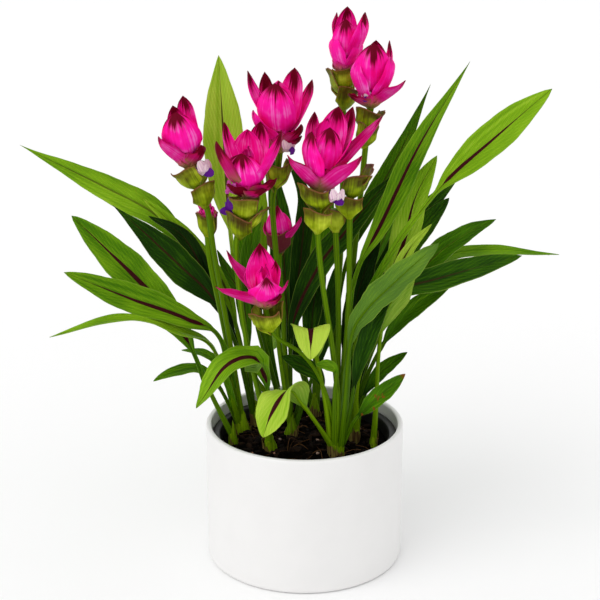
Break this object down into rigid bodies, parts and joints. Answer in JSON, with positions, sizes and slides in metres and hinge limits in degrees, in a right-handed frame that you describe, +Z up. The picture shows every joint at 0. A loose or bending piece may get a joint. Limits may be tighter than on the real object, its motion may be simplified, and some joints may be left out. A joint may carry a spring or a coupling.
{
  "type": "potted siam tulip",
  "caption": "Leafy flowering plant with tall stalks of layered pink bracts above green cups, in a plastic growing pot inside a round glazed cover pot.",
  "frame": {"origin": "centre of the cover pot's flat base, at the level that it stands on", "axes": "+Z up along the pot's axis, -Y towards the side that the picture shows, +X to that side's right"},
  "size_m": [0.3801, 0.1864, 0.3851],
  "materials": {
    "glaze": "gloss",
    "black_plastic": "satin",
    "soil": "matte",
    "leaf": "satin",
    "bract": "satin"
  },
  "bodies": {
    "root": {"cover_pot": "glaze", "nursery_pot": "black_plastic", "soil": "soil", "shoot_west": "leaf", "leaf_west": "leaf", "shoot_west_back": "leaf", "shoot_southwest": "leaf", "shoot_north": "leaf", "shoot_centre": "leaf", "shoot_south": "leaf", "shoot_east": "leaf", "shoot_east_back": "leaf", "leaf_east": "leaf", "shoot_back": "leaf", "head_northeast": "bract", "head_east": "bract", "head_north": "bract", "head_south": "bract", "head_west": "bract", "head_southwest": "bract", "head_low": "bract", "head_middle": "bract", "head_bud": "bract"}
  },
  "joints": []
}
